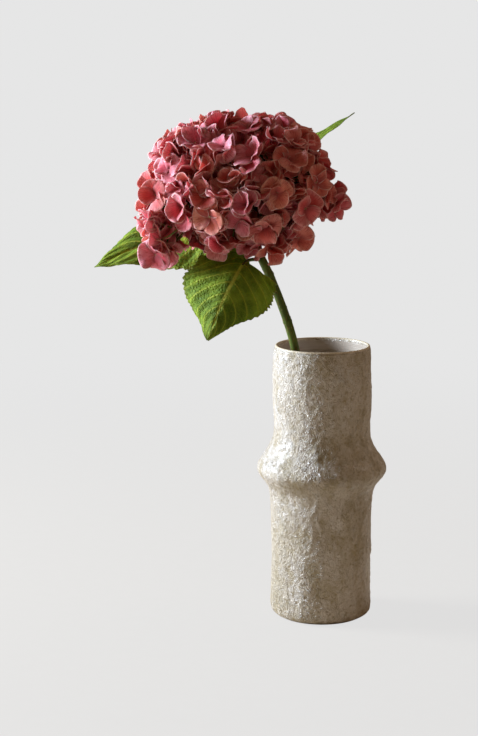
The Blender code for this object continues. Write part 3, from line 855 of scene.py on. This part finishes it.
def eye_material():
    graph = Graph("floret_eye")
    grain = graph.noise(graph.objects(), 900.0, 2.0)
    colour = graph.mix(graph.band(grain, 0.35, 0.65), (0.42, 0.36, 0.16), (0.62, 0.40, 0.30))
    rough = graph.band(grain, 0.3, 0.7, 0.5, 0.7)
    return graph.finish(Base_Color=colour, Roughness=rough, Normal=graph.bump(grain, 0.0004))


def start_way(normal):
    """The way square to a floret's normal from which its turn is counted."""
    return unit(np.cross(normal, [0.3, 0.2, 0.9]))


def floret_place(name, knobs):
    """Centre, outward normal, radius, turn and stalk foot of a floret's node."""
    points, triangles = node_mesh(name)
    corners = points[triangles]
    areas = np.cross(corners[:, 1] - corners[:, 0], corners[:, 2] - corners[:, 0])
    size = np.linalg.norm(areas, axis=1)
    facing = areas / np.maximum(size, 1e-12)[:, None]
    tensor = (facing[:, :, None] * facing[:, None, :] * size[:, None, None]).sum(0)
    normal = np.linalg.eigh(tensor)[1][:, -1]
    flat = abs(facing @ normal) > 0.75
    centre = (corners[flat].mean(1) * size[flat, None]).sum(0) / size[flat].sum()
    knob = min(knobs, key=lambda k: np.linalg.norm(points - k, axis=1).min())
    if normal @ (centre - knob) < 0:
        normal = -normal
    low = (points - centre) @ normal
    disc = points[low > -0.006]
    spokes = disc - centre - np.outer((disc - centre) @ normal, normal)
    lengths = np.linalg.norm(spokes, axis=1)
    radius = lengths.max()
    first = start_way(normal)
    second = np.cross(normal, first)
    tips = lengths > 0.93 * radius
    angles = np.arctan2(spokes[tips] @ second, spokes[tips] @ first)
    turn = np.angle(np.exp(4j * angles).mean()) / 4
    return {"centre": centre, "normal": normal, "radius": radius, "turn": turn, "knob": knob, "first": first}


def disc_grid(count):
    """A square grid bent into a unit disc, and the same as UVs."""
    a, b = np.meshgrid(np.linspace(-1, 1, count), np.linspace(-1, 1, count), indexing="ij")
    x, y = a * np.sqrt(1 - b**2 / 2), b * np.sqrt(1 - a**2 / 2)
    return x, y, np.stack([(x + 1) / 2, (y + 1) / 2], 2).reshape(-1, 2)


def petal_points(x, y, length, width, pitch, curl, cup, fold, wave, phase):
    """Along, across and above for each grid point of one petal, base at the origin."""
    u = 0.5 + 0.5 * x
    spread = np.sqrt(x**2 + y**2)
    angle = np.arctan2(y, x)
    run = length * (u + 0.02 * spread * np.exp(-((angle / 0.40) ** 2)))
    across = 0.5 * width * y * (1 + 0.20 * x)
    bend = pitch + curl * u
    flat = np.where(abs(curl) < 1e-3, np.cos(pitch) * run, (np.sin(bend) - math.sin(pitch)) / curl * length)
    rise = -(np.cos(bend) - math.cos(pitch)) / curl * length
    ripple = wave * length * spread**2 * np.sin(phase + 2.6 * angle)
    ripple += 0.4 * wave * length * spread**4 * np.sin(1.7 * phase + 7 * angle)
    trough = cup * across**2 / width * (0.35 + 0.65 * u) + fold * abs(across)
    above = trough + ripple
    return flat - above * np.sin(bend), across, rise + above * np.cos(bend)


def add_floret(builder, spot, rng, grid, openness, faces, warmth, deep, scale=1.0):
    """Four petals in two crossed pairs, the bud between them and the stalk down to the branch."""
    x, y, uv = grid
    normal, first = spot["normal"], spot["first"]
    second = np.cross(normal, first)
    radius = spot["radius"] * scale
    for k in range(4):
        turn = spot["turn"] + k * math.pi / 2 + rng.uniform(-0.16, 0.16)
        outward = math.cos(turn) * first + math.sin(turn) * second
        sideways = np.cross(normal, outward)
        twist = rng.uniform(-0.38, 0.38)
        length = radius * rng.uniform(0.94, 1.12)
        width = length * rng.uniform(1.06, 1.28)
        pitch = math.radians(openness + rng.uniform(-24, 24) + (7 if k % 2 else 0))
        curl = math.radians(rng.uniform(-75, 25) - openness * 0.3)
        cup, fold = rng.uniform(-0.3, 0.9), rng.uniform(-0.05, 0.16)
        wave, phase = rng.uniform(0.03, 0.11), rng.uniform(0, 6.28)
        ahead, across, above = petal_points(x, y, length, width, pitch, curl, cup, fold, wave, phase)
        across, above = across - twist * above, above + twist * across
        start = 0.0006 + (0.0007 if k % 2 else 0.0)
        place = (
            spot["centre"]
            + outward * (ahead[..., None] - 0.0008)
            + sideways * across[..., None]
            + normal * (above[..., None] + start)
        )
        face_way = unit(np.cross(np.gradient(place, axis=0), np.gradient(place, axis=1)))
        lift = face_way * PETAL_HALF_THICKNESS
        sheet = np.concatenate([(place + lift).reshape(-1, 3), (place - lift).reshape(-1, 3)])
        builder.add(sheet, faces, 0, np.tile(uv, (2, 1)), tone=rng.random(), warmth=warmth, deep=deep)
    add_bud(builder, spot["centre"] + normal * 0.0012, normal, first, radius * 0.085)
    add_stalk(builder, spot)


def add_bud(builder, centre, normal, first, radius):
    second = np.cross(normal, first)
    rings, sides = 5, 8
    points = []
    for i in range(rings):
        lift = -0.5 + 1.5 * i / (rings - 1)
        wide = radius * math.sqrt(max(0.03, 1 - lift**2))
        for k in range(sides):
            turn = 2 * math.pi * k / sides
            lobed = wide * (1 + 0.12 * math.cos(4 * turn))
            spoke = lobed * (math.cos(turn) * first + math.sin(turn) * second)
            points.append(centre + spoke + normal * radius * lift * 1.15)
    faces = grid_faces(rings, sides, wrap=True)
    faces += [tuple(reversed(range(sides))), tuple(range((rings - 1) * sides, rings * sides))]
    builder.add(points, faces, 1)


def add_stalk(builder, spot):
    top = spot["centre"] + spot["normal"] * 0.0004
    knob = spot["knob"]
    reach = np.linalg.norm(top - knob)
    below = top - spot["normal"] * min(0.016, reach * 0.4)
    foot = knob + unit(below - knob) * 0.0040
    path = curve_through([top, below, (below + foot) / 2, foot], 9)
    points, faces = tube(path, np.linspace(0.0008, 0.0011, 9), 6)
    builder.add([list(p) for p in points], faces, 2)


class Head:
    """The shape of the flower head, read from the florets' places."""

    def __init__(self, spots):
        self.centres = np.array([spot["centre"] for spot in spots])
        self.middle = (self.centres.max(0) + self.centres.min(0)) / 2
        self.middle[2] = np.median(self.centres[:, 2])
        offsets = self.centres - self.middle
        self.reach = np.linalg.norm(offsets, axis=1)
        self.ways = offsets / self.reach[:, None]

    def radius(self, way):
        near = np.exp(-((np.arccos(np.clip(self.ways @ way, -1, 1)) / 0.30) ** 2))
        return float((near * self.reach).sum() / near.sum())


def in_lobes(centre, margin):
    """Whether a place lies that far inside one of the head's masses."""
    for middle, extents in LOBES:
        if (((centre - middle) / (np.array(extents) - margin)) ** 2).sum() < 1:
            return True
    return False


def filler_spots(spots, knobs, count):
    """Places for small florets: each as far out as its neighbours leave room for."""
    head = Head(spots)
    rng = random.Random(21)
    taken = [(spot["centre"], spot["radius"] * CAD_FLORET_SCALE) for spot in spots]
    found = []
    golden = math.pi * (3 - math.sqrt(5))
    for shell, spacing in FILLER_SHELLS:
        for k in range(TRIES):
            z = 1 - 2 * (k + 0.5) / TRIES
            ring = math.sqrt(1 - z * z)
            way = np.array([ring * math.cos(golden * k), ring * math.sin(golden * k), z])
            way = unit(way + np.array([rng.uniform(-0.04, 0.04) for _ in range(3)]))
            bare = (head.ways @ way).max() < math.cos(FILLER_REACH)
            if way[2] < -0.84 or bare or len(found) >= count:
                continue
            centre = head.middle + way * head.radius(way) * shell
            radius = rng.uniform(*FILLER_RADII)
            if not in_lobes(centre, radius * 0.45):
                continue
            if any(np.linalg.norm(centre - c) < spacing * (r + radius) for c, r in taken):
                continue
            lean = UPWARD_LEAN * (0.4 + 0.6 * (centre[2] > head.middle[2]))
            normal = unit(way + lean + np.array([rng.uniform(-0.8, 0.8) for _ in range(3)]))
            knob = min(knobs, key=lambda point: np.linalg.norm(point - centre))
            taken.append((centre, radius))
            found.append(
                {
                    "centre": centre,
                    "normal": normal,
                    "radius": radius,
                    "turn": rng.uniform(0, 1.57),
                    "knob": knob,
                    "first": start_way(normal),
                    "depth": 1 - shell,
                }
            )
    return found


def knob_points():
    """The end of each branch, far from the stem's fork, where its florets' stalks start."""
    centres, _ = stem_rings()
    knobs = []
    for name in sorted(n for n in frame["nodes"] if n.startswith("branch_")):
        points, _ = node_mesh(name)
        far = points[np.argsort(np.linalg.norm(points - centres[-1], axis=1))[-24:]]
        knobs.append(far.mean(0))
    return knobs


def make_head(stalk_skin):
    materials = [petal_material(), eye_material(), stalk_skin]
    knobs = knob_points()
    names = sorted(n for n in frame["nodes"] if n.startswith("floret_"))
    spots = [floret_place(name, knobs) for name in names]
    rng = random.Random(4)
    grid, faces = disc_grid(PETAL_GRID), leaf_faces(PETAL_GRID, PETAL_GRID)
    for name, spot in zip(names, spots):
        builder = Builder("tone", "warmth", "deep")
        lean = UPWARD_LEAN * max(0.0, spot["centre"][2] - CROWN_FROM) / CROWN_SPAN
        spot["normal"] = unit(spot["normal"] + lean + np.array([rng.uniform(-0.28, 0.28) for _ in range(3)]))
        spot["first"] = start_way(spot["normal"])
        openness, warmth, deep = LOOKS.get(name, (rng.uniform(16, 58), rng.random(), rng.uniform(0, 0.3)))
        spot["centre"] = spot["centre"] - spot["normal"] * max(0.0, openness - 40) * UPRIGHT_SINK
        add_floret(builder, spot, rng, grid, openness, faces, warmth, deep, CAD_FLORET_SCALE)
        builder.build(name.replace("floret", "bloom"), materials, "petal_rose", name)
    small_grid, small_faces = disc_grid(FILLER_GRID), leaf_faces(FILLER_GRID, FILLER_GRID)
    groups = [Builder("tone", "warmth", "deep") for _ in knobs]
    for spot in filler_spots(spots, knobs, FILLERS):
        which = min(range(len(knobs)), key=lambda i: np.linalg.norm(knobs[i] - spot["knob"]))
        # A random darker tone, plus painted shade that grows the farther inside the head the floret sits.
        deep = rng.uniform(0, 0.25) + 1.2 * spot["depth"]
        openness, warmth = rng.uniform(14, 74), rng.random()
        add_floret(groups[which], spot, rng, small_grid, openness, small_faces, warmth, deep)
    for number, builder in enumerate(groups, start=1):
        if builder.count:
            builder.build(f"small_blooms_{number}", materials, "petal_rose")


def main():
    bpy.context.scene.view_settings.view_transform = "Standard"
    make_camera()
    make_world()
    make_light("key", KEY_PLACE, KEY_AIM, KEY_SIZE, KEY_POWER, KEY_COLOUR)
    make_light("fill", FILL_PLACE, FILL_AIM, FILL_SIZE, FILL_POWER, FILL_COLOUR)
    make_floor()
    make_vase()
    skin, stalk_skin = stem_material(), stem_material("stalk_skin", 0.8)
    make_stem(skin)
    for name in sorted(n for n in frame["nodes"] if n.startswith("branch_")):
        make_branch(name, stalk_skin)
    leaf_sides = [leaf_material(), underleaf_material()]
    for name in LEAF_LOOKS:
        make_leaf(name, leaf_sides, skin)
    make_head(stalk_skin)


main()
